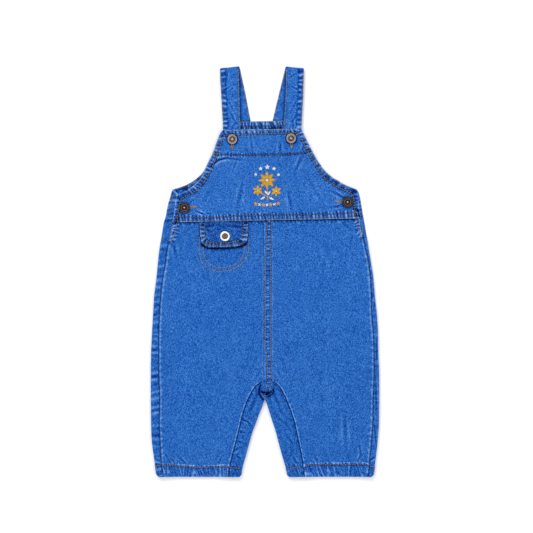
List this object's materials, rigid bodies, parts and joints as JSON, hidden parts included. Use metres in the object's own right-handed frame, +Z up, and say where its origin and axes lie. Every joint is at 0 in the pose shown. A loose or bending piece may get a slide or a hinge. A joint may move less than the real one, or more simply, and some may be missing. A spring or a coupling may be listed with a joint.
{
  "type": "denim overalls",
  "caption": "Small child's denim bib overalls laid flat, front up, with shoulder straps, side-buttoned waist and a pocket flap.",
  "frame": {"origin": "middle of the outline, on the surface that the garment lies on", "axes": "+Y from the hems to the shoulders, +X to the right as seen from above with the front up, +Z up from the surface"},
  "size_m": [0.2736, 0.4918, 0.0089],
  "materials": {
    "denim": "washed blue denim twill, matt",
    "dark_denim": "darker washed denim twill, matt",
    "silver_button": "antique silver, worn",
    "bronze_button": "dark bronze, worn",
    "thread": "tan, brown and mustard sewing thread"
  },
  "bodies": {
    "root": {"front_bib": "denim", "back_bib": "denim", "front_leg_left": "denim", "front_leg_right": "denim", "back_leg_left": "denim", "back_leg_right": "denim", "strap_left": "denim", "strap_right": "denim", "pocket_flap": "dark_denim", "button_bib_left": "silver_button", "button_bib_right": "silver_button", "button_flap": "silver_button", "button_side_left": "bronze_button", "button_side_right": "bronze_button"}
  },
  "joints": []
}
